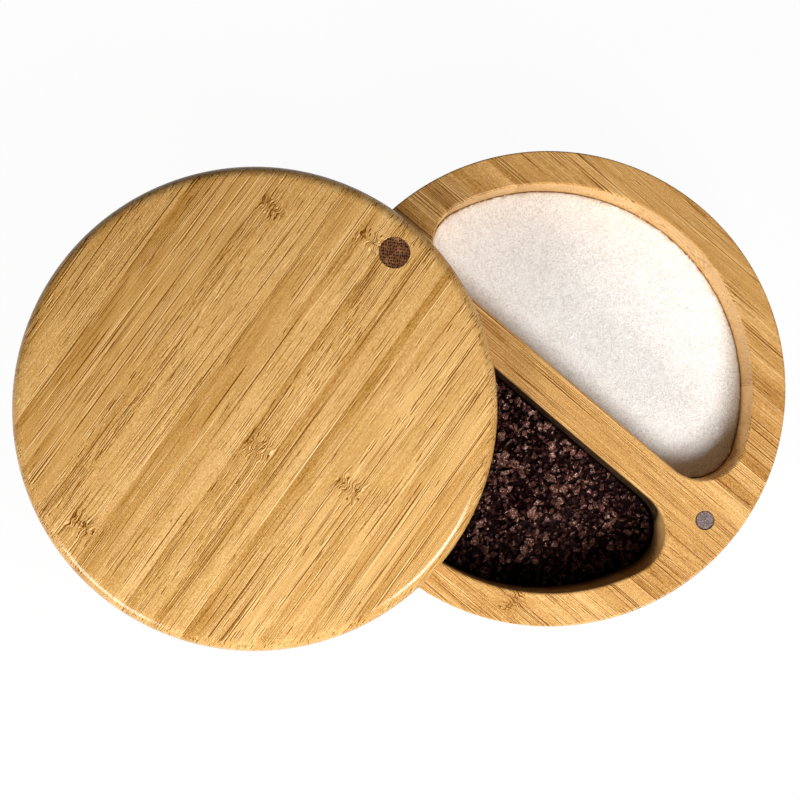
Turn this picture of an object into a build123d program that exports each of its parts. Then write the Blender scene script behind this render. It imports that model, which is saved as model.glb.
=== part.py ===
from build123d import *
import os

# A round bamboo salt box with two pockets and a lid that swivels on a screw in its rim.
# The origin is the centre of the underside, and +Z is up. The divider between the pockets
# runs along Y: the pivot stands at its +Y end, and the magnet lies at its -Y end. The salt
# pocket is on +X and the pepper pocket on -X. Every length is in millimetres.

# Base, machined from one glued-up bamboo block
box_diameter = 152.4
base_height = 50.8
floor_thickness = 8.8
rim_width = 10.7
divider_width = 12.2
pocket_corner_radius = 14.0
pocket_edge_bevel = 0.6  # eased top edge of the pockets
rim_edge_bevel = 0.5  # eased outer edge of the rim
foot_edge_bevel = 1.5  # outer edge of the underside

# Lid, a plain disc with a rounded top edge
lid_thickness = 12.7
lid_top_edge_radius = 4.0
lid_under_edge_bevel = 0.5
lid_gap = 0.3  # running gap between the rim and the lid
lid_open_angle = 91.5  # turned clockwise from closed, seen from above, in degrees

# Pivot: a pan-head wood screw and its washer under a plug of dark bamboo
pivot_inset = 10.7  # from the outer edge to the pivot's axis
screw_diameter = 4.2
screw_length = 32.0  # under the head
screw_point_length = 6.0
screw_head_diameter = 8.0
screw_head_height = 2.8
screw_head_bevel = 0.9
drive_slot_width = 1.1
drive_slot_depth = 1.4
drive_slot_length = 5.0
washer_diameter = 9.2
washer_thickness = 0.8
pivot_web = 4.0  # bamboo left in the lid under the washer
plug_diameter = 9.8
plug_headroom = 0.5  # air between the screw head and the plug

# Catch: one disc magnet in the rim and its twin in the lid
magnet_inset = 10.7  # from the outer edge to the magnet's axis
magnet_diameter = 6.0
magnet_thickness = 3.0
magnet_edge_bevel = 0.3
magnet_recess = 0.3  # how far the magnet's face lies below the wood

# Contents, level, with a sloping shoulder along the wall
salt_height = 23.0  # from the pocket's floor up to the top of the salt
pepper_height = 10.0  # from the pocket's floor up to the top of the cracked pepper
fill_shoulder_bevel = 1.2

# Fits, measured on the radius or across one gap
bore_clearance = 0.05  # lid bore on the screw, free to turn
screw_seat_clearance = 0.02  # screw in the base
washer_clearance = 0.1  # washer round the screw, and above the lid's web
plug_clearance = 0.03  # glue line round the plug
magnet_clearance = 0.2  # glue line round a magnet
fill_clearance = 0.1  # between the contents and the pocket wall

# Places that follow from the sizes above
box_radius = box_diameter / 2
pocket_radius = box_radius - rim_width
pivot_radius = box_radius - pivot_inset
magnet_radius = box_radius - magnet_inset
lid_underside = base_height + lid_gap
lid_top = lid_underside + lid_thickness
washer_seat = lid_underside + pivot_web
washer_underside = washer_seat + washer_clearance
head_underside = washer_underside + washer_thickness
plug_underside = head_underside + screw_head_height + plug_headroom
pivot_axis = Axis((0, pivot_radius, 0), (0, 0, 1))


def at_pivot(shape, height):
    """Place a shape on the pivot's axis, at a height."""
    return Pos(0, pivot_radius, height) * shape


def at_magnet(shape, height):
    """Place a shape on the magnet's axis with the lid closed, at a height."""
    return Pos(0, -magnet_radius, height) * shape


def swing_open(shape):
    """Turn something that the lid carries from closed to the open position."""
    return shape.rotate(pivot_axis, -lid_open_angle)


def upright(radius, height):
    """A round bar that stands on its lower end."""
    return extrude(Circle(radius), height)


def pocket_outline(side):
    """Half of a disc beside the divider, with its two corners rounded."""
    beside_divider = Pos(side * (divider_width / 2 + pocket_radius), 0)
    half_disc = Circle(pocket_radius) & beside_divider * Rectangle(2 * pocket_radius, 2 * pocket_radius)
    return fillet(half_disc.vertices(), pocket_corner_radius)


def pocket(side):
    """The space that the cutter leaves, from the pocket's flat floor up to the rim."""
    return Pos(0, 0, floor_thickness) * extrude(pocket_outline(side), base_height - floor_thickness)


def pointed_rod(radius, length):
    """A rod that hangs down from z = 0 and ends in a point."""
    straight = Pos(0, 0, -(length - screw_point_length)) * upright(radius, length - screw_point_length)
    point_centre = -length + screw_point_length / 2
    return straight + Pos(0, 0, point_centre) * Cone(0, radius, screw_point_length)


def base_body():
    body = upright(box_radius, base_height)
    body = chamfer(body.edges().sort_by(Axis.Z)[0], foot_edge_bevel)
    body = chamfer(body.edges().sort_by(Axis.Z)[-1], rim_edge_bevel)
    for side in (1, -1):
        body -= pocket(side)
    rim = body.faces().sort_by(Axis.Z)[-1]
    body = chamfer([edge for wire in rim.inner_wires() for edge in wire.edges()], pocket_edge_bevel)
    body -= at_pivot(pointed_rod(screw_diameter / 2 + screw_seat_clearance, screw_length), head_underside)
    body -= at_magnet(magnet_seat(), base_height - magnet_recess - magnet_thickness)
    return body


def lid():
    disc = Pos(0, 0, lid_underside) * upright(box_radius, lid_thickness)
    disc = chamfer(disc.edges().sort_by(Axis.Z)[0], lid_under_edge_bevel)
    disc = fillet(disc.edges().sort_by(Axis.Z)[-1], lid_top_edge_radius)
    disc -= at_pivot(upright(screw_diameter / 2 + bore_clearance, pivot_web), lid_underside)
    disc -= at_pivot(upright(plug_diameter / 2 + plug_clearance, lid_top - washer_seat), washer_seat)
    disc -= at_magnet(magnet_seat(), lid_underside)
    return swing_open(disc)


def pivot_screw():
    """Pan-head screw with a straight drive slot, standing in the base."""
    head = upright(screw_head_diameter / 2, screw_head_height)
    head = chamfer(head.edges().sort_by(Axis.Z)[-1], screw_head_bevel)
    slot = Box(drive_slot_length, drive_slot_width, 2 * drive_slot_depth)
    head -= Pos(0, 0, screw_head_height) * slot
    return at_pivot(head + pointed_rod(screw_diameter / 2, screw_length), head_underside)


def pivot_washer():
    hole = Circle(screw_diameter / 2 + washer_clearance)
    ring = extrude(Circle(washer_diameter / 2) - hole, washer_thickness)
    return at_pivot(ring, washer_underside)


def pivot_plug():
    """Dark plug whose end grain lies flush with the top of the lid."""
    plug = at_pivot(upright(plug_diameter / 2, lid_top - plug_underside), plug_underside)
    return swing_open(plug)


def magnet():
    """Disc magnet with both edges bevelled, standing on z = 0."""
    disc = upright(magnet_diameter / 2, magnet_thickness)
    return chamfer(disc.edges().filter_by(GeomType.CIRCLE), magnet_edge_bevel)


def magnet_seat():
    """Blind hole for a magnet, as deep as the magnet and its recess."""
    return upright(magnet_diameter / 2 + magnet_clearance, magnet_thickness + magnet_recess)


def base_magnet():
    return at_magnet(magnet(), base_height - magnet_recess - magnet_thickness)


def lid_magnet():
    return swing_open(at_magnet(magnet(), lid_underside + magnet_recess))


def fill(side, height):
    """Loose contents that take the pocket's form, sloping away a little at the wall."""
    heap = extrude(offset(pocket_outline(side), -fill_clearance), height)
    heap = chamfer(heap.faces().sort_by(Axis.Z)[-1].edges(), fill_shoulder_bevel)
    return Pos(0, 0, floor_thickness) * heap


pieces = {
    "base_body": base_body(),
    "base_magnet": base_magnet(),
    "pivot_screw": pivot_screw(),
    "pivot_washer": pivot_washer(),
    "salt_fill": fill(1, salt_height),
    "pepper_fill": fill(-1, pepper_height),
    "lid": lid(),
    "lid_magnet": lid_magnet(),
    "pivot_plug": pivot_plug(),
}

os.makedirs("parts", exist_ok=True)
for name, piece in pieces.items():
    export_step(piece, f"parts/{name}.step")
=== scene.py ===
import bmesh
import bpy
import math
import random
from mathutils import Matrix, Vector, noise
from mathutils.geometry import delaunay_2d_cdt


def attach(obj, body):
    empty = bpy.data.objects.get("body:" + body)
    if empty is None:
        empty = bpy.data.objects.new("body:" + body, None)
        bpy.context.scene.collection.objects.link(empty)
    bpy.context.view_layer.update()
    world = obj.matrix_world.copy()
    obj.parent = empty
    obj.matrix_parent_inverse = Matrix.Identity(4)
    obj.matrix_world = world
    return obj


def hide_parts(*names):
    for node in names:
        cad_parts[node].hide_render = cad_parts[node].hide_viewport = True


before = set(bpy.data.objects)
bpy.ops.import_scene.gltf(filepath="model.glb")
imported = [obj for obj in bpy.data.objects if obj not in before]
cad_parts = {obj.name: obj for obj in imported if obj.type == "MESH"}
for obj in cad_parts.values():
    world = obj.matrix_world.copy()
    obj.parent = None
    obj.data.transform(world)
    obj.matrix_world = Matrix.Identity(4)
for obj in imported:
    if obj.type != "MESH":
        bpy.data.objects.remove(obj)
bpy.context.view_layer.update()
mm = 0.001  # the sizes below are in millimetres, as the drawings are
print("frame loaded:", ", ".join(sorted(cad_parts)))


# mesh helpers

def addLoop(bm, points):
    return [bm.verts.new(Vector(point) * mm) for point in points]


def joinLoops(bm, first, second):
    for i in range(len(first)):
        j = (i + 1) % len(first)
        bm.faces.new((first[i], first[j], second[j], second[i]))


def loftLoops(bm, loops):
    rows = [addLoop(bm, points) for points in loops]
    for above, below in zip(rows, rows[1:]):
        joinLoops(bm, above, below)
    return rows


def closedLoft(bm, loops):  # open at its first outline, and closed at its last
    rows = loftLoops(bm, loops)
    bm.faces.new(rows[-1])
    return rows[0]


def edgesOf(bm, row):
    return [bm.edges.get((row[i], row[(i + 1) % len(row)])) for i in range(len(row))]


def fillFlat(bm, rows):  # a flat face between an outline and its holes
    edges = [edge for row in rows for edge in edgesOf(bm, row)]
    bmesh.ops.triangle_fill(bm, use_beauty=True, use_dissolve=False, edges=edges)


def arcPoints(centre, radius, start, end, steps):  # all but the last
    turns = [start + (end - start) * i / steps for i in range(steps)]
    return [(centre[0] + radius * math.cos(t), centre[1] + radius * math.sin(t)) for t in turns]


def circlePoints(radius, height, steps, centre=(0, 0)):
    return [(x, y, height) for x, y in arcPoints(centre, radius, 0, 2 * math.pi, steps)]


def quarter(steps):  # angles of a quarter turn
    return [math.pi / 2 * i / steps for i in range(steps + 1)]


def topEdge(x, z, size, steps, way=-1):  # profile of a rounded top edge, with way 1 for that of a hole
    return [(x + way * size * (1 - math.sin(t)), z - size * (1 - math.cos(t))) for t in quarter(steps)]


def lowEdge(x, z, size, steps):  # and of a rounded lower edge, or of a cove in a hole
    return [(x - size * (1 - math.cos(t)), z + size * (1 - math.sin(t))) for t in quarter(steps)]


def pieceFrom(bm, name, material, body, replaced=()):
    bmesh.ops.recalc_face_normals(bm, faces=bm.faces)
    openEdges = sum(1 for edge in bm.edges if not edge.is_manifold)
    mesh = bpy.data.meshes.new(name)
    bm.to_mesh(mesh)
    bm.free()
    mesh.shade_smooth()
    piece = bpy.data.objects.new(name, mesh)
    bpy.context.scene.collection.objects.link(piece)
    finishPiece(piece, material, body, replaced, openEdges)


def finishPiece(piece, material, body, replaced=(), openEdges=0):
    piece.data.materials.clear()
    piece.data.materials.append(material)
    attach(piece, body)
    if replaced:
        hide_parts(*replaced)
    triangles = sum(len(face.vertices) - 2 for face in piece.data.polygons)
    print(f"{piece.name}: {triangles} triangles, {openEdges} open edges")


# node helpers

def feed(tree, node, values):  # a socket is linked, and anything else is set
    for key, value in values.items():
        if isinstance(value, bpy.types.NodeSocket):
            tree.links.new(value, node.inputs[key])
        else:
            node.inputs[key].default_value = value


def put(tree, kind, feeds=None, **settings):
    made = tree.nodes.new(kind)
    for key, value in settings.items():
        setattr(made, key, value)
    feed(tree, made, feeds or {})
    return made


def calc(tree, operation, *values, clamp=False):
    made = put(tree, "ShaderNodeMath", dict(enumerate(values)), operation=operation, use_clamp=clamp)
    return made.outputs[0]


def times(tree, first, second, clamp=False):
    return calc(tree, "MULTIPLY", first, second, clamp=clamp)


def plus(tree, first, second):
    return calc(tree, "ADD", first, second)


def minus(tree, first, second):
    return calc(tree, "SUBTRACT", first, second)


def over(tree, first, second):
    return calc(tree, "DIVIDE", first, second)


def scaled(tree, value, factor, start):  # start + value * factor
    return calc(tree, "MULTIPLY_ADD", value, factor, start)


def absolute(tree, value):
    return calc(tree, "ABSOLUTE", value)


def vecCalc(tree, operation, *values):
    made = put(tree, "ShaderNodeVectorMath", dict(enumerate(values)), operation=operation)
    return made.outputs[1] if operation == "LENGTH" else made.outputs[0]


def ease(tree, value, low, high, start=0.0, end=1.0):
    feeds = {"Value": value, "From Min": low, "From Max": high, "To Min": start, "To Max": end}
    return put(tree, "ShaderNodeMapRange", feeds, interpolation_type="SMOOTHSTEP").outputs[0]


def fadeOut(tree, value, low, high):  # 1 up to low, and down to 0 at high
    return ease(tree, value, low, high, 1.0, 0.0)


def parts(tree, vector):
    return put(tree, "ShaderNodeSeparateXYZ", {0: vector}).outputs


def joined(tree, x, y, z):
    return put(tree, "ShaderNodeCombineXYZ", {0: x, 1: y, 2: z}).outputs[0]


def stretched(tree, vector, x, y, z):
    return vecCalc(tree, "MULTIPLY", vector, (x, y, z))


def cloud(tree, vector, scale=1.0, detail=2.0, rough=0.5):
    feeds = {"Vector": vector, "Scale": scale, "Detail": detail, "Roughness": rough}
    return put(tree, "ShaderNodeTexNoise", feeds, noise_dimensions="3D").outputs[0]


def ripple(tree, vector, scale=1.0, detail=2.0, rough=0.5):  # a cloud that goes both ways from 0
    return minus(tree, cloud(tree, vector, scale, detail, rough), 0.5)


def tossed(tree, x, y, z, output):  # a random value or colour for each x, y and z
    feeds = {"Vector": joined(tree, x, y, z)}
    return put(tree, "ShaderNodeTexWhiteNoise", feeds, noise_dimensions="3D").outputs[output]


def ramp(tree, value, stops, style="LINEAR"):
    made = put(tree, "ShaderNodeValToRGB", {0: value})
    made.color_ramp.interpolation = style
    while len(made.color_ramp.elements) < len(stops):
        made.color_ramp.elements.new(0.5)
    for element, (place, colour) in zip(made.color_ramp.elements, stops):
        element.position = place
        element.color = (*colour, 1.0)
    return made.outputs[0]


def mixed(tree, share, first, plain):  # from the first colour over to a plain one
    feeds = {0: share, 6: first, 7: (*plain, 1.0)}
    return put(tree, "ShaderNodeMix", feeds, data_type="RGBA").outputs[2]


def addBump(tree, surface, height, strength, depth):
    bump = put(tree, "ShaderNodeBump", {"Strength": strength, "Distance": depth * mm, "Height": height})
    tree.links.new(bump.outputs[0], surface.inputs["Normal"])


def newGroup(name, numbers, outputs, vectors=("Grain",)):
    tree = bpy.data.node_groups.new(name, "ShaderNodeTree")
    for label in vectors:
        tree.interface.new_socket(name=label, in_out="INPUT", socket_type="NodeSocketVector")
    for label, value in numbers.items():
        socket = tree.interface.new_socket(name=label, in_out="INPUT", socket_type="NodeSocketFloat")
        socket.default_value = value
    for label in outputs:
        tree.interface.new_socket(name=label, in_out="OUTPUT", socket_type="NodeSocketFloat")
    return tree, tree.nodes.new("NodeGroupInput").outputs, tree.nodes.new("NodeGroupOutput")


def newMaterial(name):
    material = bpy.data.materials.new(name)
    material.use_nodes = True
    tree = material.node_tree
    tree.nodes.clear()
    surface = tree.nodes.new("ShaderNodeBsdfPrincipled")
    output = tree.nodes.new("ShaderNodeOutputMaterial")
    tree.links.new(surface.outputs[0], output.inputs[0])
    return material, tree, surface


def placed(tree, centre, turn):  # object coordinates in mm, centred on the piece and turned to its grain
    coords = put(tree, "ShaderNodeTexCoord").outputs["Object"]
    feeds = {"Vector": coords, "Location": Vector(centre) * mm, "Rotation": (0, 0, turn), "Scale": (mm, mm, mm)}
    return put(tree, "ShaderNodeMapping", feeds, vector_type="TEXTURE").outputs[0]


def linear(part):
    return part / 12.92 if part <= 0.04045 else ((part + 0.055) / 1.055) ** 2.4


def srgb(red, green, blue):  # a colour as picture programs count it
    return tuple(linear(part / 255) for part in (red, green, blue))


# bamboo: glued strips with long fibres, dashes and knuckles. Grain runs along x of its coordinates

# length and gap between fibres, their width, and how far they lean from the grain
longFibre = {"Length": 62.0, "Gap": 0.90, "Width": 0.34, "Lean": 0.003}
fineFibre = {"Length": 26.0, "Gap": 0.60, "Width": 0.25, "Lean": 0.005}
shortFibre = {"Length": 5.6, "Gap": 1.0, "Width": 0.34, "Lean": 0.07}
knotFibre = {"Length": 3.0, "Gap": 1.00, "Width": 0.46, "Lean": 0.16}
# how many fibres are twins and how far off centre those lie, and where a line fades at its sides and tips
fibreLook = {"scatter": 0.95, "twins": 0.45, "twinOff": 0.7, "side": (0.9, 2.4), "tip": (0.18, 0.5), "waves": 2.1}

# clouds of tone: how close they are along, across and down the grain, then scale, detail and roughness
woodClouds = {
    "wander": ((0.012, 0.16, 0.08), 1.0, 1.0, 0.5),
    "bands": ((0.006, 0.55, 0.15), 1.0, 2.0, 0.5),
    "bundles": ((0.01, 0.42, 0.3), 1.0, 1.0, 0.5),
    "pale": ((0.014, 0.35, 0.3), 1.3, 1.0, 0.5),
    "drift": ((0.03, 0.12, 0.08), 1.0, 1.0, 0.5),
    "threads": ((0.05, 2.1, 2.1), 1.0, 3.0, 0.65),
    "speckle": ((2.2, 3.4, 3.4), 1.0, 2.0, 0.8),
}
# what each layer adds to the tone of the wood, and to its relief
toneShares = {
    "skin": -0.24, "bands": 0.26, "drift": 0.20, "threads": 0.52, "speckle": 1.25, "dark": -1.18, "light": 0.52,
    "seam": -0.04, "knuckle": -0.09, "ridge": -0.36,
}
reliefShares = {"dark": -1.0, "light": 0.55, "threads": 0.6, "speckle": 0.25, "seam": -0.25, "ridge": -0.8}

# a knuckle, where a pair says where something starts to fade and where it is gone. Its sides are
# shares of the half width
knuckleLook = {
    "reach": 7.0, "halfWidth": 4.6, "sides": (0.8, 1.05), "depth": (12.0, 16.0), "raggedScale": 0.36,
    "fleckStray": 7.0, "fleckReach": (1.2, 3.6), "ridgeStray": 1.6, "ridgeOff": 0.45, "ridgeWidth": (0.08, 0.30),
    "ridgeGaps": (0.52, 0.58), "hook": 0.16, "hookReach": (0.4, 4.5), "swirl": 3.6,
}


def knuckleGroup():
    look = knuckleLook
    tree, given, result = newGroup(
        "knuckle", {"Reach": look["reach"], "Half Width": look["halfWidth"]},
        ("Mask", "Flecks", "Ridge", "Bend"), ("Grain", "Place"))
    away = vecCalc(tree, "SUBTRACT", given["Grain"], given["Place"])
    along, across, deep = parts(tree, away)
    nearAlong = fadeOut(tree, over(tree, absolute(tree, along), given["Reach"]), 0.0, 1.0)
    nearAcross = fadeOut(tree, over(tree, absolute(tree, across), given["Half Width"]), *look["sides"])
    nearAcross = times(tree, nearAcross, fadeOut(tree, absolute(tree, deep), *look["depth"]))
    mask = times(tree, nearAlong, nearAcross)
    ragged = ripple(tree, given["Grain"], look["raggedScale"], 1.0)
    strayed = absolute(tree, scaled(tree, ragged, look["fleckStray"], along))
    flecks = times(tree, fadeOut(tree, strayed, *look["fleckReach"]), nearAcross)
    ridgeAt = absolute(tree, scaled(tree, ragged, look["ridgeStray"], along))
    line = fadeOut(tree, absolute(tree, minus(tree, ridgeAt, look["ridgeOff"])), *look["ridgeWidth"])
    gaps = cloud(tree, stretched(tree, given["Grain"], 0.2, 0.45, 0.3), 1.0, 1.0)
    ridge = times(tree, times(tree, line, ease(tree, gaps, *look["ridgeGaps"])), nearAcross)
    pull = fadeOut(tree, absolute(tree, along), *look["hookReach"])
    hook = times(tree, times(tree, pull, nearAcross), times(tree, across, look["hook"]))
    swirl = times(tree, times(tree, ragged, look["swirl"]), mask)
    feed(tree, result, {"Mask": mask, "Flecks": flecks, "Ridge": ridge, "Bend": plus(tree, hook, swirl)})
    return tree


def fibreGroup():
    tree, given, result = newGroup(
        "fibres", {"Length": 60.0, "Gap": 1.2, "Width": 0.3, "Lean": 0.0, "Chance": 0.3}, ("Dark", "Light"))
    look = fibreLook
    size = joined(tree, given["Length"], given["Gap"], given["Gap"])
    cells = vecCalc(tree, "DIVIDE", given["Grain"], size)
    cell = put(tree, "ShaderNodeTexVoronoi", {"Vector": cells, "Scale": 1.0, "Randomness": look["scatter"]})
    away = vecCalc(tree, "MULTIPLY", vecCalc(tree, "SUBTRACT", cells, cell.outputs["Position"]), size)
    along, across, deep = parts(tree, away)
    pick, thick, strong = parts(tree, cell.outputs["Color"])
    there = fadeOut(tree, pick, minus(tree, given["Chance"], 0.04), given["Chance"])
    lean = times(tree, scaled(tree, strong, 2.0, -1.0), given["Lean"])
    across = scaled(tree, along, lean, across)
    halfWidth = times(tree, given["Width"], scaled(tree, thick, 0.7, 0.35))
    side = over(tree, across, halfWidth)
    below = times(tree, over(tree, deep, halfWidth), 0.5)
    twin = calc(tree, "GREATER_THAN", strong, 1 - look["twins"])  # two dark lines, a light one between them
    off = minus(tree, side, scaled(tree, twin, -look["twinOff"], look["twinOff"]))
    reach = calc(tree, "SQRT", plus(tree, times(tree, off, off), times(tree, below, below)))
    fade = fadeOut(tree, reach, *look["side"])
    tip = fadeOut(tree, over(tree, absolute(tree, along), given["Length"]), *look["tip"])
    power = times(tree, times(tree, tip, there), scaled(tree, thick, 0.5, 0.5))
    swing = times(tree, calc(tree, "COSINE", times(tree, side, look["waves"])), scaled(tree, twin, -2.0, 1.0))
    wave = times(tree, times(tree, swing, fade), power)
    light = calc(tree, "MAXIMUM", times(tree, wave, -1.0), 0.0)
    feed(tree, result, {"Dark": calc(tree, "MAXIMUM", wave, 0.0), "Light": light})
    return tree


def strongest(tree, *layers):  # of sockets, each with its factor
    best = times(tree, *layers[0])
    for layer in layers[1:]:
        best = calc(tree, "MAXIMUM", best, times(tree, *layer))
    return best


def bambooGroup():
    fibres = fibreGroup()
    tree, given, result = newGroup(
        "bambooStrips",
        {"Pitch": 10.1, "Shift": 0.0, "Course": 17.0, "Skin": 0.5, "Dashes": 0.3, "Tone": 0.5, "Knuckle": 0.0,
         "Flecks": 0.0, "Ridge": 0.0, "Tilt": 0.03, "Meander": 0.4, "Fineness": 1.0},
        ("Tone", "Relief"))
    along, across, up = parts(tree, given["Grain"])
    strip = over(tree, plus(tree, across, given["Shift"]), given["Pitch"])
    local = calc(tree, "FRACT", strip)
    course = calc(tree, "FLOOR", over(tree, up, given["Course"]))
    dice = tossed(tree, calc(tree, "FLOOR", strip), course, 3.7, "Color")
    one, two, _ = parts(tree, dice)
    tilt = times(tree, minus(tree, one, 0.5), given["Tilt"])
    wave = ripple(tree, stretched(tree, given["Grain"], 0.04, 0.12, 0.12), 1.0, 1.0)
    across = scaled(tree, wave, given["Meander"], scaled(tree, along, tilt, across))
    tilted = joined(tree, scaled(tree, two, 900.0, along), across, up)  # each strip comes from another cane
    grain = vecCalc(tree, "ADD", tilted, stretched(tree, dice, 0.0, 0.0, 300.0))

    layers = {
        name: ripple(tree, stretched(tree, grain, *near), scale, detail, rough)
        for name, (near, scale, detail, rough) in woodClouds.items()}

    # one side of each strip was near the skin of the cane: browner, mottled, with closer fibres
    inward = scaled(tree, times(tree, layers["wander"], minus(tree, 1.0, local)), 1.6, local)
    husk = cloud(tree, stretched(tree, grain, 0.16, 0.75, 0.75), 1.0, 3.0, 0.65)
    skinSide = times(tree, ease(tree, inward, 0.2, 1.0), scaled(tree, husk, 1.6, 0.2))
    skin = times(tree, skinSide, given["Skin"])

    patch = cloud(tree, stretched(tree, grain, 0.035, 0.3, 0.2), 1.0, 1.0)
    often = times(tree, given["Dashes"], scaled(tree, patch, 2.2, -0.30))
    closer = vecCalc(tree, "MULTIPLY", grain, joined(tree, 1.0, given["Fineness"], given["Fineness"]))
    beside = vecCalc(tree, "ADD", closer, (41.0, 7.3, 5.1))
    apart = vecCalc(tree, "ADD", grain, (3.0, 5.5, 2.2))
    kinds = [
        (longFibre, closer, scaled(tree, skin, 0.30, scaled(tree, layers["bundles"], 3.2, 0.24))),
        (fineFibre, beside, scaled(tree, layers["pale"], 3.0, 0.42)),
        (shortFibre, closer, scaled(tree, given["Knuckle"], 0.25, often)),
        (knotFibre, apart, given["Flecks"])]
    long, fine, short, knots = [
        put(tree, "ShaderNodeGroup", {**look, "Grain": place, "Chance": chance}, node_tree=fibres).outputs
        for look, place, chance in kinds]
    layers["dark"] = strongest(
        tree, (long["Dark"], 1.0), (short["Dark"], 0.7), (fine["Dark"], 0.7), (knots["Dark"], 1.2))
    layers["light"] = strongest(
        tree, (long["Light"], 0.9), (short["Light"], 0.8), (fine["Light"], 1.1), (knots["Light"], 1.0))
    seamAt = calc(tree, "MINIMUM", local, minus(tree, 1.0, local))
    layers["seam"] = fadeOut(tree, times(tree, seamAt, given["Pitch"]), 0.03, 0.16)
    layers["skin"], layers["knuckle"], layers["ridge"] = skin, given["Knuckle"], given["Ridge"]

    tone, relief = given["Tone"], 0.0
    for name, share in toneShares.items():
        tone = scaled(tree, layers[name], share, tone)
    for name, share in reliefShares.items():
        relief = scaled(tree, layers[name], share, relief)
    feed(tree, result, {"Tone": tone, "Relief": relief})
    return tree


lidTones = [
    (0.00, srgb(112, 58, 0)), (0.12, srgb(130, 78, 0)), (0.22, srgb(148, 98, 20)),
    (0.33, srgb(165, 115, 44)), (0.47, srgb(182, 133, 65)), (0.61, srgb(200, 153, 86)),
    (0.74, srgb(214, 168, 104)), (0.87, srgb(230, 186, 121)), (1.00, srgb(246, 205, 140)),
]
blockTones = [
    (0.00, srgb(112, 60, 8)), (0.12, srgb(130, 80, 12)), (0.22, srgb(150, 101, 34)),
    (0.33, srgb(167, 118, 55)), (0.47, srgb(185, 136, 74)), (0.61, srgb(203, 155, 92)),
    (0.74, srgb(217, 171, 108)), (0.87, srgb(232, 188, 124)), (1.00, srgb(246, 206, 140)),
]

lidWood = {
    "centre": (-65.48, 67.21, 57.4), "turn": math.radians(4.4), "tones": lidTones,
    "pitch": 10.1, "shift": 3.0, "course": 400.0, "topCourse": 0, "firstStrip": -7,
    # from the far side of the lid: how brown the strip's skin side is, its dashes, its tone
    "strips": [
        (0.3, 0.1, 0.62), (0.4, 0.1, 0.72), (0.5, 0.25, 0.71), (0.3, 0.6, 0.735), (0.8, 0.1, 0.65),
        (0.9, 0.1, 0.715), (0.6, 0.8, 0.675), (0.6, 0.1, 0.73), (0.7, 0.1, 0.65), (0.1, 0.2, 0.665),
        (0.2, 0.6, 0.625), (0.2, 0.1, 0.595), (0.9, 0.1, 0.63), (0.2, 0.2, 0.64), (0.3, 0.3, 0.54)],
    "tilt": 0.034, "meander": 0.3, "fineness": 1.15, "lowerSpread": 0.14, "paintedWallLight": 0.0, "wallCalm": 0.45,
    "coat": 0.6, "rough": (0.62, 0.40),
    "knuckles": [(-9, -8.0), (-3, -38.3), (54, 32.3), (-61, 22.4), (64, 2.1)], "knuckleHeight": 0.0, "flecks": 1.0,
}

blockWood = {
    "centre": (0, 0, 0), "turn": math.radians(90), "tones": blockTones,
    "pitch": 10.4, "shift": 1.4, "course": 17.0, "topCourse": 2, "firstStrip": -7,
    "strips": [
        (0.3, 0.1, 0.565), (0.3, 0.2, 0.59), (0.8, 0.1, 0.545), (0.8, 0.1, 0.60), (1.0, 0.2, 0.55),
        (0.9, 0.1, 0.59), (0.5, 0.0, 0.645), (0.3, 0.0, 0.53), (0.3, 0.2, 0.52), (0.6, 0.2, 0.49),
        (0.3, 0.1, 0.555), (0.2, 0.2, 0.63), (0.5, 0.2, 0.61), (0.3, 0.1, 0.575)],
    "tilt": 0.02, "meander": 0.12, "fineness": 1.4, "lowerSpread": 0.14, "paintedWallLight": 0.21, "wallCalm": 0.45,
    "coat": 0.25, "rough": (0.78, 0.55),
    "knuckles": [(-35, 59.5), (14, 71.0)], "knuckleHeight": 50.8, "flecks": 0.45,
    # painted shade on the pepper pocket's walls, darker towards the bottom: full up to the first height and gone
    # at the second
    "paintedShade": {"divider": (45.0, 50.3), "walls": (16.0, 43.0), "between": (6.3, 11.0), "reach": 70.0},
    "paintedShadeTone": srgb(32, 18, 12),
}


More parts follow.
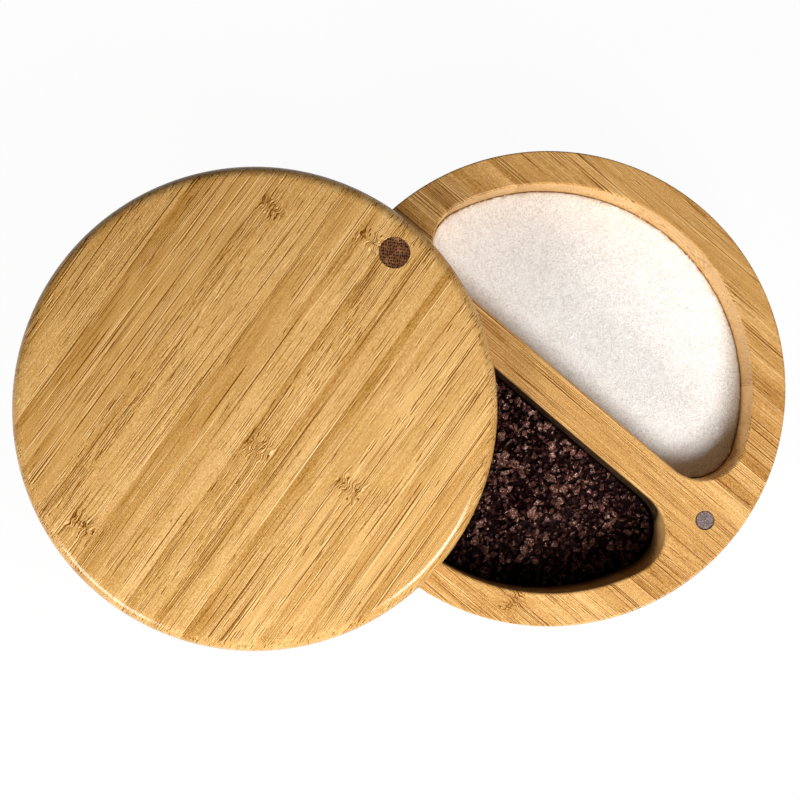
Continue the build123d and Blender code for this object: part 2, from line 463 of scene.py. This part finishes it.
def bambooMaterial(name, wood, strips, knuckle):
    material, tree, surface = newMaterial(name)
    grain = placed(tree, wood["centre"], wood["turn"])
    mask, flecks, ridge, bend = 0.0, 0.0, 0.0, 0.0
    for along, across in wood["knuckles"]:
        feeds = {"Grain": grain, "Place": (along, across, wood["knuckleHeight"])}
        spot = put(tree, "ShaderNodeGroup", feeds, node_tree=knuckle).outputs
        mask = plus(tree, spot["Mask"], mask)
        flecks = scaled(tree, spot["Flecks"], wood["flecks"], flecks)
        ridge = plus(tree, spot["Ridge"], ridge)
        bend = plus(tree, spot["Bend"], bend)
    bent = vecCalc(tree, "ADD", grain, joined(tree, 0.0, bend, 0.0))
    x, y, z = parts(tree, grain)
    number = calc(tree, "FLOOR", over(tree, plus(tree, y, wood["shift"]), wood["pitch"]))
    place = over(tree, minus(tree, plus(tree, number, 0.5), wood["firstStrip"]), len(wood["strips"]))
    stops = [(i / len(wood["strips"]), strip) for i, strip in enumerate(wood["strips"])]
    skin, dashes, tone = parts(tree, ramp(tree, place, stops, "CONSTANT"))
    course = calc(tree, "FLOOR", over(tree, z, wood["course"]))
    lower = calc(tree, "LESS_THAN", course, wood["topCourse"])
    dice = tossed(tree, number, course, 11.0, "Value")
    tone = scaled(tree, times(tree, minus(tree, dice, 0.5), lower), wood["lowerSpread"], tone)
    facing = parts(tree, put(tree, "ShaderNodeNewGeometry").outputs["True Normal"])[2]
    upright = fadeOut(tree, absolute(tree, facing), 0.3, 0.8)
    # painted light: upright faces are made lighter in tone
    tone = scaled(tree, upright, wood["paintedWallLight"], tone)
    feeds = {
        "Grain": bent, "Pitch": wood["pitch"], "Shift": wood["shift"], "Course": wood["course"],
        "Skin": skin, "Dashes": dashes, "Tone": tone, "Knuckle": mask, "Flecks": flecks, "Ridge": ridge,
        "Tilt": wood["tilt"], "Meander": wood["meander"], "Fineness": wood["fineness"]}
    board = put(tree, "ShaderNodeGroup", feeds, node_tree=strips).outputs
    calm = times(tree, upright, wood["wallCalm"])  # less contrast on the walls, where fibres end
    shown = scaled(tree, minus(tree, tone, board["Tone"]), calm, board["Tone"])
    colour = ramp(tree, shown, wood["tones"])
    # painted shade: the walls of the pepper pocket are mixed towards a dark brown, most near the bottom
    if "paintedShade" in wood:  # its pocket is where y > 0 in the grain's coordinates
        paintedShade = wood["paintedShade"]
        full = ease(tree, y, *paintedShade["between"], paintedShade["divider"][0], paintedShade["walls"][0])
        gone = ease(tree, y, *paintedShade["between"], paintedShade["divider"][1], paintedShade["walls"][1])
        low = fadeOut(tree, z, full, gone)
        patchy = scaled(tree, cloud(tree, grain, 0.5, 3.0, 0.6), 0.5, 0.7)
        inPocket = calc(tree, "LESS_THAN", vecCalc(tree, "LENGTH", joined(tree, x, y, 0.0)), paintedShade["reach"])
        here = times(tree, calc(tree, "GREATER_THAN", y, 0.0), inPocket)
        colour = mixed(tree, times(tree, times(tree, low, patchy), here, clamp=True), colour, wood["paintedShadeTone"])
    feed(tree, surface, {
        "Base Color": colour, "Roughness": ease(tree, board["Relief"], -0.8, 0.5, *wood["rough"]),
        "Specular IOR Level": 0.08, "Coat Weight": wood["coat"], "Coat Roughness": 0.17})
    addBump(tree, surface, board["Relief"], 0.6, 0.10)
    return material


knuckle = knuckleGroup()
strips = bambooGroup()
lidBamboo = bambooMaterial("lidBamboo", lidWood, strips, knuckle)
blockBamboo = bambooMaterial("blockBamboo", blockWood, strips, knuckle)
print("bamboo materials made")


# base: one machined block with two pockets

# the ledge is a narrow flat ring that keeps the smooth shading of an edge off the flat face beside it
block = {
    "radius": 76.2, "height": 50.8, "floor": 8.8, "rim": 10.7, "divider": 12.2, "corner": 14.0,
    "pocketEdge": 0.9, "rimEdge": 0.5, "foot": 1.5, "cove": 4.0, "ledge": 0.25, "pivot": 65.5,
    "screwHole": 2.12, "screwDepth": 20.8, "screwPoint": 26.8, "screwTip": 0.2,
    "magnetHole": 3.1, "magnetDepth": 3.3, "magnetEdge": 0.08,
}
# how many steps a round edge is made of
turned = {"rim": 240, "bore": 64, "magnet": 48, "screw": 32, "divider": 32, "corner": 20, "outer": 90}


def pocketSizes():  # half the divider, the outer wall's radius, and where a corner's centre is
    half = block["divider"] / 2
    outer = block["radius"] - block["rim"]
    midX = half + block["corner"]
    midY = math.sqrt((outer - block["corner"]) ** 2 - midX ** 2)
    return half, outer, midX, midY


def pocketPoints(side, grow, height):  # the pocket's outline, grown outwards into the wood
    half, outer, midX, midY = pocketSizes()
    lean = math.atan2(midY, midX)
    corner = block["corner"] + grow
    steps = turned["divider"]
    points = [(half - grow, midY * (2 * i / steps - 1)) for i in range(steps)]
    points += arcPoints((midX, midY), corner, math.pi, lean, turned["corner"])
    points += arcPoints((0, 0), outer + grow, lean, -lean, turned["outer"])
    points += arcPoints((midX, -midY), corner, -lean, -math.pi, turned["corner"])
    return [(side * x, y, height) for x, y in points]


def buildBase():
    s = block
    top = s["height"]
    bm = bmesh.new()
    outside = [(s["radius"] - s["rimEdge"] - s["ledge"], top)]
    outside += topEdge(s["radius"], top, s["rimEdge"], 4)
    outside += [(s["radius"], top * 0.5)]
    outside += lowEdge(s["radius"], 0, s["foot"], 5)
    outside += [(s["radius"] - s["foot"] - s["ledge"], 0)]
    borders = [closedLoft(bm, [circlePoints(r, z, turned["rim"]) for r, z in outside])]
    for side in (1, -1):
        inside = [(s["pocketEdge"] + s["ledge"], top)]
        inside += topEdge(0, top, s["pocketEdge"], 6, 1)
        inside += lowEdge(0, s["floor"], s["cove"], 6)
        inside += [(-s["cove"] - s["ledge"], s["floor"])]
        borders.append(closedLoft(bm, [pocketPoints(side, grow, z) for grow, z in inside]))
    seat = [(s["magnetHole"] + s["ledge"], top), (s["magnetHole"] + s["magnetEdge"], top),
            (s["magnetHole"], top - s["magnetEdge"]), (s["magnetHole"], top - s["magnetDepth"])]
    borders.append(closedLoft(bm, [circlePoints(r, z, turned["magnet"], (0, -s["pivot"])) for r, z in seat]))
    hole = [(s["screwHole"], top), (s["screwHole"], top - s["screwDepth"]), (s["screwTip"], top - s["screwPoint"])]
    borders.append(closedLoft(bm, [circlePoints(r, z, turned["screw"], (0, s["pivot"])) for r, z in hole]))
    fillFlat(bm, borders)
    pieceFrom(bm, "bambooBlock", blockBamboo, "base", ["base_body"])


buildBase()


# lid: a disc with a rounded top edge, a plugged counterbore and a magnet seat below

disc = {
    "radius": 76.2, "under": 51.1, "top": 63.8, "topEdge": 4.0, "underEdge": 0.5, "ledge": 0.25, "open": -91.5,
    "pivot": 65.5, "bore": 2.15, "web": 4.0, "counterbore": 4.93, "boreEdge": 0.1,
    "magnetHole": 3.2, "magnetDepth": 3.3,
}


def buildLid():
    s = disc
    top, under, webTop = s["top"], s["under"], s["under"] + s["web"]
    bm = bmesh.new()
    outside = [(s["radius"] - s["topEdge"] - s["ledge"], top)]
    outside += topEdge(s["radius"], top, s["topEdge"], 12)
    outside += lowEdge(s["radius"], under, s["underEdge"], 4)
    outside += [(s["radius"] - s["underEdge"] - s["ledge"], under)]
    shell = loftLoops(bm, [circlePoints(r, z, turned["rim"]) for r, z in outside])
    bore = [(s["counterbore"] + s["ledge"], top), (s["counterbore"] + s["boreEdge"], top),
            (s["counterbore"], top - s["boreEdge"]), (s["counterbore"], webTop),
            (s["bore"], webTop), (s["bore"], under)]
    swivel = loftLoops(bm, [circlePoints(r, z, turned["bore"], (0, s["pivot"])) for r, z in bore])
    seat = [(s["magnetHole"], under), (s["magnetHole"], under + s["magnetDepth"])]
    catch = closedLoft(bm, [circlePoints(r, z, turned["magnet"], (0, -s["pivot"])) for r, z in seat])
    fillFlat(bm, [shell[0], swivel[0]])
    fillFlat(bm, [shell[-1], swivel[-1], catch])
    pin = Matrix.Translation((0, s["pivot"] * mm, 0))
    swing = pin @ Matrix.Rotation(math.radians(s["open"]), 4, "Z") @ pin.inverted()
    bmesh.ops.transform(bm, matrix=swing, verts=bm.verts)
    pieceFrom(bm, "bambooLid", lidBamboo, "lid", ["lid"])


buildLid()


# plug, magnets, screw and washer keep their solids and get their finish here

def plugMaterial():
    look = {
        "centre": (0, 65.5, 63.8), "turn": math.radians(35), "spotGap": 0.68, "spotLength": 1.4,
        "spotEdge": (0.26, 0.48), "scatter": 0.42, "wobble": 0.5, "wobbleScale": 0.9,
        "spotDark": -1.1, "mottle": 1.5, "start": -0.06, "grit": 0.35,
    }
    material, tree, surface = newMaterial("charredEndGrain")
    spots = placed(tree, look["centre"], look["turn"])
    stir = put(tree, "ShaderNodeTexNoise", {"Vector": spots, "Scale": look["wobbleScale"]}).outputs["Color"]
    stir = vecCalc(tree, "SUBTRACT", stir, (0.5, 0.5, 0.5))
    wobble = stretched(tree, stir, look["wobble"], look["wobble"], look["wobble"])
    moved = vecCalc(tree, "ADD", spots, wobble)
    cells = stretched(tree, moved, 1 / (look["spotGap"] * look["spotLength"]), 1 / look["spotGap"], 0.02)
    cell = put(tree, "ShaderNodeTexVoronoi", {"Vector": cells, "Scale": 1.0, "Randomness": look["scatter"]})
    shape = fadeOut(tree, cell.outputs["Distance"], *look["spotEdge"])
    tone = scaled(tree, cloud(tree, spots, 0.35, 3.0, 0.6), look["mottle"], look["start"])
    tone = scaled(tree, shape, look["spotDark"], tone)
    tone = scaled(tree, ripple(tree, spots, 4.0, 2.0, 0.7), look["grit"], tone)
    stops = [(0.0, srgb(28, 5, 0)), (0.35, srgb(70, 32, 10)), (0.7, srgb(114, 70, 38)), (1.0, srgb(156, 110, 70))]
    feed(tree, surface, {"Base Color": ramp(tree, tone, stops), "Roughness": 0.5, "Specular IOR Level": 0.2})
    addBump(tree, surface, tone, 0.5, 0.08)
    return material


def metalMaterial(name, look):
    material, tree, surface = newMaterial(name)
    spot = placed(tree, look["centre"], 0.0)
    mottle = cloud(tree, spot, look["mottleScale"], 4.0, 0.7)
    scratches = cloud(tree, stretched(tree, spot, 0.5, 7.0, 1.0), 1.0, 2.0, 0.7)
    tone = plus(tree, times(tree, mottle, 0.7), times(tree, scratches, 0.3))
    feed(tree, surface, {
        "Base Color": ramp(tree, tone, look["tones"]), "Metallic": look["metal"],
        "Roughness": ease(tree, mottle, 0.3, 0.7, *look["rough"])})
    addBump(tree, surface, scratches, 0.4, 0.04)
    return material


magnetLook = {
    "centre": (0, -65.5, 50.5), "mottleScale": 1.6, "rough": (0.20, 0.32), "metal": 0.6,
    "tones": [(0.35, srgb(76, 64, 62)), (0.5, srgb(106, 91, 87)), (0.65, srgb(146, 131, 126))],
}
steelLook = {
    "centre": (0, 65.5, 56.0), "mottleScale": 0.8, "rough": (0.25, 0.42), "metal": 1.0,
    "tones": [(0.3, srgb(165, 166, 168)), (0.5, srgb(196, 197, 198)), (0.7, srgb(222, 223, 222))],
}
plugWood = plugMaterial()
nickel = metalMaterial("dulledNickel", magnetLook)
zinc = metalMaterial("zincPlate", steelLook)
finishes = {
    "pivot_plug": plugWood, "base_magnet": nickel, "lid_magnet": nickel,
    "pivot_screw": zinc, "pivot_washer": zinc,
}
for node, finish in finishes.items():
    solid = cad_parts[node]
    if not solid.material_slots:
        solid.data.materials.append(None)
    for place in solid.material_slots:
        place.material = finish
print("plug and metal finished")


# contents: a bed of each, dressed with grains

def wallDistance(x, y):  # from a point in a pocket to the nearest wall
    half, outer, midX, midY = pocketSizes()
    x, y = abs(x), abs(y)
    if y > midY and midX * (y - midY) > midY * (x - midX):
        return block["corner"] - math.hypot(x - midX, y - midY)
    return min(x - half, outer - math.hypot(x, y))


def evenly(edge, spacing):  # points at even steps along a closed outline
    sides = list(zip(edge, edge[1:] + edge[:1]))
    length = sum(math.dist(a, b) for a, b in sides)
    step = length / int(length / spacing)
    border, walked = [], 0.0
    for a, b in sides:
        run = math.dist(a, b)
        while walked < run:
            share = walked / run
            border.append((a[0] + (b[0] - a[0]) * share, a[1] + (b[1] - a[1]) * share))
            walked += step
        walked -= run
    return border


def bedPoints(side, spacing, inset, seed):  # the outline, and shaken points in a honeycomb within it
    dice = random.Random(seed)
    border = evenly([(x, y) for x, y, _ in pocketPoints(side, -inset, 0)], spacing)
    reach, rowGap, shake = 66, 0.866, 0.25  # how far out to look, and shares of the spacing
    free = inset + 0.6 * spacing
    inner = []
    for row in range(int(2 * reach / (spacing * rowGap))):
        y = -reach + row * spacing * rowGap
        for column in range(int(reach / spacing)):
            x = (column + 0.5 * (row % 2)) * spacing + dice.uniform(-shake, shake) * spacing
            across = y + dice.uniform(-shake, shake) * spacing
            if wallDistance(x, across) > free:
                inner.append((side * x, across))
    return border, inner


def surfaceOf(side, spacing, look, heightAt):  # the upper surface of a content, as points and triangles
    border, inner = bedPoints(side, spacing, look["inset"], look["seed"])
    flat = [Vector(point) for point in border + inner]
    points, _, faces, _, _, _ = delaunay_2d_cdt(flat, [], [list(range(len(border)))], 1, 1e-6)
    return [Vector((p.x, p.y, heightAt(p.x, p.y))) * mm for p in points], faces


def buildBed(side, look, heightAt):
    points, faces = surfaceOf(side, look["spacing"], look, heightAt)
    bm = bmesh.new()
    top = [bm.verts.new(point) for point in points]
    for face in faces:
        bm.faces.new([top[i] for i in face])
    rim = [edge for edge in bm.edges if edge.is_boundary]
    skirt = bmesh.ops.extrude_edge_only(bm, edges=rim)["geom"]
    for vert in [part for part in skirt if isinstance(part, bmesh.types.BMVert)]:
        vert.co.z = look["bottom"] * mm
    bmesh.ops.contextual_create(bm, geom=[edge for edge in bm.edges if edge.is_boundary])
    return bm


def swell(x, y, near, seed):  # smooth noise from -1 to 1
    return noise.noise(Vector((x * near, y * near, seed)))


saltLook = {
    "spacing": 0.75, "inset": 0.36, "seed": 4, "bottom": 26.0, "level": 31.8, "drop": 0.3,
    "swells": [(0.045, 3.1, 0.45), (0.55, 7.7, 0.10), (1.7, 1.9, 0.07)],  # how close, seed, height
    "shoulder": 0.9, "shoulderWidth": 2.2,
}


def saltHeight(x, y):
    s = saltLook
    height = s["level"] - s["drop"]
    for near, seed, size in s["swells"]:
        height += swell(x, y, near, seed) * size
    edge = max(0.0, 1 - wallDistance(x, y) / s["shoulderWidth"])
    crumble = 0.7 + 0.6 * swell(x, y, 0.3, 9) + 0.9 * swell(x, y, 0.8, 4.4)  # breaks up the shoulder
    return height - s["shoulder"] * edge ** 2 * crumble


def grainTone(tree):  # each strewn grain has its own, and a bed has 0
    return put(tree, "ShaderNodeAttribute", attribute_name="grainTone", attribute_type="GEOMETRY").outputs["Fac"]


def saltMaterial(name, rough, gloss):
    look = {"centre": (36, 0, 31.8), "grain": 0.42, "paintedGlintFrom": 0.86, "pick": 0.6, "clump": 0.4, "pickRise": 0.7}
    material, tree, surface = newMaterial(name)
    spot = placed(tree, look["centre"], 0.0)
    cell = put(tree, "ShaderNodeTexVoronoi", {"Vector": spot, "Scale": 1 / look["grain"], "Randomness": 1.0})
    pick = parts(tree, cell.outputs["Color"])[0]
    clump = cloud(tree, spot, 0.12, 2.0)
    tone = plus(tree, times(tree, pick, look["pick"]), times(tree, clump, look["clump"]))
    stops = [(0.1, srgb(223, 217, 214)), (0.4, srgb(241, 238, 235)), (0.7, srgb(253, 252, 249))]
    clear = calc(tree, "GREATER_THAN", grainTone(tree), look["paintedGlintFrom"])  # painted glints: a few grains are given a pure white colour
    feed(tree, surface, {
        "Base Color": mixed(tree, clear, ramp(tree, tone, stops), (1.0, 1.0, 1.0)),
        "Roughness": rough, "Specular IOR Level": gloss})
    height = scaled(tree, cell.outputs["Distance"], -1.0, times(tree, pick, look["pickRise"]))
    addBump(tree, surface, height, rough, 0.24)
    return material


pepperLook = {
    "spacing": 0.9, "inset": 0.15, "seed": 9, "bottom": 12.0, "level": 18.2, "drop": 1.8,
    "swells": [(0.06, 5.2, 0.8), (0.7, 2.4, 0.5)], "shoulder": 0.8, "shoulderWidth": 3.0,
    "bank": 12.0, "reach": 24.0,  # heaped up against the divider
}


def pepperHeight(x, y):
    s = pepperLook
    height = s["level"] - s["drop"] + s["bank"] * math.exp(-(abs(x) - block["divider"] / 2) / s["reach"])
    for near, seed, size in s["swells"]:
        height += swell(x, y, near, seed) * size
    edge = max(0.0, 1 - wallDistance(x, y) / s["shoulderWidth"])
    return height - s["shoulder"] * edge ** 2


def pepperMaterial(name, tones, gloss):
    look = {
        "centre": (-36, 0, 18), "shade": 0.50, "husk": 1.3, "start": -0.545, "grit": 1.9, "glint": 0.9,
        "glintFrom": 0.91, "glintEdge": (0.2, 0.45), "tint": (1.0, 0.62, 0.58, 1.0),
    }
    material, tree, surface = newMaterial(name)
    spot = placed(tree, look["centre"], 0.0)
    husk = cloud(tree, spot, 1.0, 4.0, 0.75)
    grit = cloud(tree, spot, 3.0, 2.0, 0.8)
    flake = put(tree, "ShaderNodeTexVoronoi", {"Vector": spot, "Scale": 2.2, "Randomness": 1.0})
    picked = calc(tree, "GREATER_THAN", parts(tree, flake.outputs["Color"])[0], look["glintFrom"])
    glint = times(tree, picked, fadeOut(tree, flake.outputs["Distance"], *look["glintEdge"]))
    tone = scaled(tree, husk, look["husk"], look["start"])
    tone = scaled(tree, grainTone(tree), look["shade"], tone)
    tone = scaled(tree, minus(tree, grit, 0.5), look["grit"], tone)
    tone = scaled(tree, glint, look["glint"], tone)
    feed(tree, surface, {
        "Base Color": ramp(tree, tone, tones), "Roughness": ease(tree, grit, 0.35, 0.65, 0.55, 0.20),
        "Specular IOR Level": gloss, "Specular Tint": look["tint"]})
    addBump(tree, surface, plus(tree, husk, times(tree, grit, 0.5)), 0.45, 0.25)
    return material


saltFinish = saltMaterial("looseSalt", 0.6, 0.4)
crystalFinish = saltMaterial("saltCrystal", 0.12, 1.0)
pepperTones = [
    (0.16, srgb(26, 8, 10)), (0.42, srgb(64, 32, 29)), (0.70, srgb(114, 70, 57)), (1.0, srgb(255, 216, 190))]
shadeTones = [(0.15, srgb(10, 2, 3)), (0.42, srgb(20, 7, 8)), (0.68, srgb(30, 13, 13)), (0.95, srgb(46, 26, 24))]
# painted shade: the crumbs between the chips are painted darker than the chips
shadedCrumbTones = [(place, [part * 0.8 for part in tone]) for place, tone in pepperTones]
pepperFinish = pepperMaterial("crackedPepper", pepperTones, 0.3)
crumbFinish = pepperMaterial("pepperCrumb", shadedCrumbTones, 0.12)
pepperDark = pepperMaterial("pepperShade", shadeTones, 0.05)
saltBed = buildBed(1, saltLook, saltHeight)
pieceFrom(saltBed, "saltBed", saltFinish, "base", ["salt_fill"])
pepperBed = buildBed(-1, pepperLook, pepperHeight)
pieceFrom(pepperBed, "pepperBed", pepperDark, "base", ["pepper_fill"])


# grains strewn over a surface with Geometry Nodes

def dealt(tree, kind, seed, low=None, high=None):  # a random value for each grain
    made = put(tree, "FunctionNodeRandomValue", {"Seed": seed}, data_type=kind)
    wanted = {"FLOAT": "VALUE", "FLOAT_VECTOR": "VECTOR", "INT": "INT"}[kind]
    if low is not None:
        ends = [socket for socket in made.inputs if socket.type == wanted and socket.name in ("Min", "Max")]
        ends[0].default_value, ends[1].default_value = low, high
    return [socket for socket in made.outputs if socket.type == wanted][0]


def chipShape(tree, seed):  # a chip is the hull of a few points on a ball
    spot = dealt(tree, "FLOAT_VECTOR", seed, (-1, -1, -1), (1, 1, 1))
    ball = vecCalc(tree, "NORMALIZE", spot)
    half = put(tree, "ShaderNodeVectorMath", {0: ball, "Scale": 0.5}, operation="SCALE").outputs[0]
    points = put(tree, "GeometryNodePoints", {"Count": 11, "Position": half})
    return put(tree, "GeometryNodeConvexHull", {0: points.outputs[0]})


def grainTree(name, cubic):
    tree = bpy.data.node_groups.new(name, "GeometryNodeTree")
    kinds = {
        "Surface": "Geometry", "Spacing": "Float", "Density": "Float", "Smallest": "Float", "Largest": "Float",
        "Roughness": "Float", "Lift": "Float", "Seed": "Int", "Finish": "Material"}
    sockets = {
        label: tree.interface.new_socket(name=label, in_out="INPUT", socket_type="NodeSocket" + kind).identifier
        for label, kind in kinds.items()}
    tree.interface.new_socket(name="Grains", in_out="OUTPUT", socket_type="NodeSocketGeometry")
    given = tree.nodes.new("NodeGroupInput").outputs
    seed = given["Seed"]
    feeds = {
        "Mesh": given["Surface"], "Distance Min": given["Spacing"], "Density Max": given["Density"], "Seed": seed}
    scatter = put(tree, "GeometryNodeDistributePointsOnFaces", feeds, distribute_method="POISSON")
    lift = joined(tree, 0.0, 0.0, times(tree, dealt(tree, "FLOAT", 5), given["Lift"]))
    raised = put(tree, "GeometryNodeSetPosition", {"Geometry": scatter.outputs["Points"], "Offset": lift})
    shapes = tree.nodes.new("GeometryNodeGeometryToInstance")
    if cubic:
        made = [put(tree, "GeometryNodeMeshCube", {"Size": (1.0, 1.0, 1.0)})]
    else:
        made = [chipShape(tree, 40 + i) for i in range(9)]
    for shape in made:
        tree.links.new(shape.outputs[0], shapes.inputs[0])
    small = calc(tree, "POWER", dealt(tree, "FLOAT", seed), 2.0)  # more small grains than large ones
    feeds = {"Value": small, "To Min": given["Smallest"], "To Max": given["Largest"]}
    size = put(tree, "ShaderNodeMapRange", feeds).outputs[0]
    squash = dealt(tree, "FLOAT_VECTOR", seed, (0.7, 0.7, 0.6), (1.15, 1.15, 1.0))
    scale = put(tree, "ShaderNodeVectorMath", {0: squash, "Scale": size}, operation="SCALE").outputs[0]
    strewn = put(tree, "GeometryNodeInstanceOnPoints", {
        "Points": raised.outputs[0], "Instance": shapes.outputs[0], "Pick Instance": True,
        "Instance Index": dealt(tree, "INT", seed, 0, 8), "Scale": scale,
        "Rotation": dealt(tree, "FLOAT_VECTOR", seed, (0, 0, 0), (6.28, 6.28, 6.28))})
    feeds = {"Geometry": strewn.outputs[0], "Name": "grainTone"}
    mark = put(tree, "GeometryNodeStoreNamedAttribute", feeds, data_type="FLOAT", domain="INSTANCE")
    value = [socket for socket in mark.inputs if socket.name == "Value" and socket.type == "VALUE"][0]
    tree.links.new(dealt(tree, "FLOAT", seed), value)
    real = put(tree, "GeometryNodeRealizeInstances", {"Geometry": mark.outputs[0]})
    uneven = put(tree, "ShaderNodeTexNoise", {"Scale": 900.0, "Detail": 1.0}).outputs["Color"]
    feeds = {0: vecCalc(tree, "SUBTRACT", uneven, (0.5, 0.5, 0.5)), "Scale": given["Roughness"]}
    push = put(tree, "ShaderNodeVectorMath", feeds, operation="SCALE").outputs[0]
    rough = put(tree, "GeometryNodeSetPosition", {"Geometry": real.outputs[0], "Offset": push})
    flat = put(tree, "GeometryNodeSetShadeSmooth", {"Geometry": rough.outputs[0], "Shade Smooth": False})
    dressed = put(tree, "GeometryNodeSetMaterial", {"Geometry": flat.outputs[0], "Material": given["Finish"]})
    tree.links.new(dressed.outputs[0], tree.nodes.new("NodeGroupOutput").inputs[0])
    return tree, sockets


def ringOf(look):  # part of the rim's top, clear of the lid at rest
    steps = 50
    turns = [math.radians(look["from"] + look["turn"] / steps * i) for i in range(steps + 1)]
    points = [Vector((r * math.cos(t), r * math.sin(t), look["height"])) * mm for t in turns for r in look["ring"]]
    return points, [(2 * i, 2 * i + 1, 2 * i + 3, 2 * i + 2) for i in range(steps)]


def strewGrains(name, kind, look, material):
    tree, sockets = kind
    mesh = bpy.data.meshes.new(name)
    if "ring" in look:
        points, faces = ringOf(look)
    else:
        points, faces = surfaceOf(look["side"], look["step"], look, look["heightAt"])
    mesh.from_pydata(points, [], faces)
    source = bpy.data.objects.new(name + "Source", mesh)
    bpy.context.scene.collection.objects.link(source)
    modifier = source.modifiers.new("grains", "NODES")
    modifier.node_group = tree
    for label in ("Spacing", "Smallest", "Largest", "Roughness", "Lift"):
        modifier[sockets[label]] = look[label.lower()] * mm
    modifier[sockets["Density"]] = look["density"] / mm ** 2
    modifier[sockets["Seed"]] = look["seed"]
    modifier[sockets["Finish"]] = material
    depsgraph = bpy.context.evaluated_depsgraph_get()
    depsgraph.update()
    plain = bpy.data.meshes.new_from_object(source.evaluated_get(depsgraph), depsgraph=depsgraph)
    bpy.data.objects.remove(source)
    piece = bpy.data.objects.new(name, plain)
    bpy.context.scene.collection.objects.link(piece)
    finishPiece(piece, material, "base")


cubes = grainTree("saltCrystals", True)
chips = grainTree("pepperChips", False)
# step is the spacing of the surface that they fall on, and density is in grains to a square millimetre
crystalLook = {
    "side": 1, "step": 1.5, "inset": 0.28, "seed": 12, "heightAt": saltHeight, "spacing": 0.40, "density": 3.6,
    "smallest": 0.22, "largest": 0.46, "roughness": 0.0, "lift": 0.05,
}
strayLook = {
    "ring": (66.8, 75.0), "from": -60, "turn": 150, "height": 50.88, "seed": 8, "spacing": 2.0, "density": 0.016,
    "smallest": 0.16, "largest": 0.22, "roughness": 0.0, "lift": 0.0,
}
chipLook = {
    "side": -1, "step": 1.5, "inset": 1.9, "seed": 31, "heightAt": pepperHeight, "spacing": 2.15, "density": 1.2,
    "smallest": 2.1, "largest": 4.6, "roughness": 0.5, "lift": 1.5,
}
crumbLook = {
    "side": -1, "step": 1.5, "inset": 1.0, "seed": 57, "heightAt": pepperHeight, "spacing": 1.3, "density": 2.0,
    "smallest": 1.1, "largest": 2.4, "roughness": 0.3, "lift": 1.1,
}
strewGrains("saltCrystals", cubes, crystalLook, crystalFinish)
strewGrains("strayCrystals", cubes, strayLook, crystalFinish)
strewGrains("pepperChips", chips, chipLook, pepperFinish)
strewGrains("pepperCrumbs", chips, crumbLook, crumbFinish)


# floor, lamps, sky and camera

studio = {
    "floorSize": 3.0, "floorSink": 0.2, "floorGlow": 0.96, "floorTone": (0.78, 0.78, 0.78, 1),
    "lamps": [  # place and size in metres, power in watts
        ("lampLeft", (-0.600, 0.070, 0.380), 0.26, 3.4),
        ("lampRight", (-0.068, -0.235, 0.390), 0.155, 2.06)],
    "aim": (-0.03, 0.03, 0.04), "sky": 0.06,
}


def addFloor():
    mesh = bpy.data.meshes.new("floor")
    half = studio["floorSize"] / 2
    mesh.from_pydata([(-half, -half, 0), (half, -half, 0), (half, half, 0), (-half, half, 0)], [], [(0, 1, 2, 3)])
    floor = bpy.data.objects.new("floor", mesh)
    bpy.context.scene.collection.objects.link(floor)
    floor.location.z = -studio["floorSink"] * mm
    material, tree, surface = newMaterial("paleFloor")
    feed(tree, surface, {"Base Color": studio["floorTone"], "Roughness": 0.9, "Specular IOR Level": 0.1})
    rays = put(tree, "ShaderNodeLightPath").outputs
    seen = calc(tree, "MAXIMUM", rays["Is Camera Ray"], rays["Is Glossy Ray"])
    seen = calc(tree, "MAXIMUM", seen, rays["Is Transmission Ray"])
    glow = put(tree, "ShaderNodeEmission", {"Color": (1, 1, 1, 1), "Strength": 1.0})
    feeds = {0: times(tree, seen, studio["floorGlow"]), 1: surface.outputs[0], 2: glow.outputs[0]}
    mix = put(tree, "ShaderNodeMixShader", feeds)
    output = [node for node in tree.nodes if node.type == "OUTPUT_MATERIAL"][0]
    tree.links.new(mix.outputs[0], output.inputs[0])
    mesh.materials.append(material)


def addLamps():
    for name, place, size, power in studio["lamps"]:
        lamp = bpy.data.lights.new(name, "AREA")
        lamp.shape = "SQUARE"
        lamp.size = size
        lamp.energy = power
        holder = bpy.data.objects.new(name, lamp)
        holder.location = place
        holder.visible_camera = False
        holder.rotation_euler = (Vector(studio["aim"]) - Vector(place)).to_track_quat("-Z", "Y").to_euler()
        bpy.context.scene.collection.objects.link(holder)


def addSky():  # white where the camera sees it, and faint as a light
    world = bpy.data.worlds.new("sky")
    world.use_nodes = True
    tree = world.node_tree
    tree.nodes.clear()
    rays = put(tree, "ShaderNodeLightPath").outputs
    seen = calc(tree, "MAXIMUM", rays["Is Camera Ray"], rays["Is Transmission Ray"])
    strength = put(tree, "ShaderNodeMapRange", {"Value": seen, "To Min": studio["sky"], "To Max": 1.0}).outputs[0]
    back = put(tree, "ShaderNodeBackground", {"Color": (1, 1, 1, 1), "Strength": strength})
    put(tree, "ShaderNodeOutputWorld", {"Surface": back.outputs[0]})
    bpy.context.scene.world = world


def addCamera():
    view = {"place": (-59.55, 44.45, 755.76), "turn": (1.055, -1.993, -49.797), "lens": 99.4}
    data = bpy.data.cameras.new("camera")
    data.lens = view["lens"]
    data.sensor_width = 36.0
    data.clip_start, data.clip_end = 0.05, 20.0
    camera = bpy.data.objects.new("camera", data)
    camera.location = Vector(view["place"]) * mm
    camera.rotation_euler = [math.radians(angle) for angle in view["turn"]]
    bpy.context.scene.collection.objects.link(camera)
    bpy.context.scene.camera = camera


addFloor()
addLamps()
addSky()
addCamera()
bpy.context.scene.view_settings.view_transform = "Standard"
print("studio and camera ready")
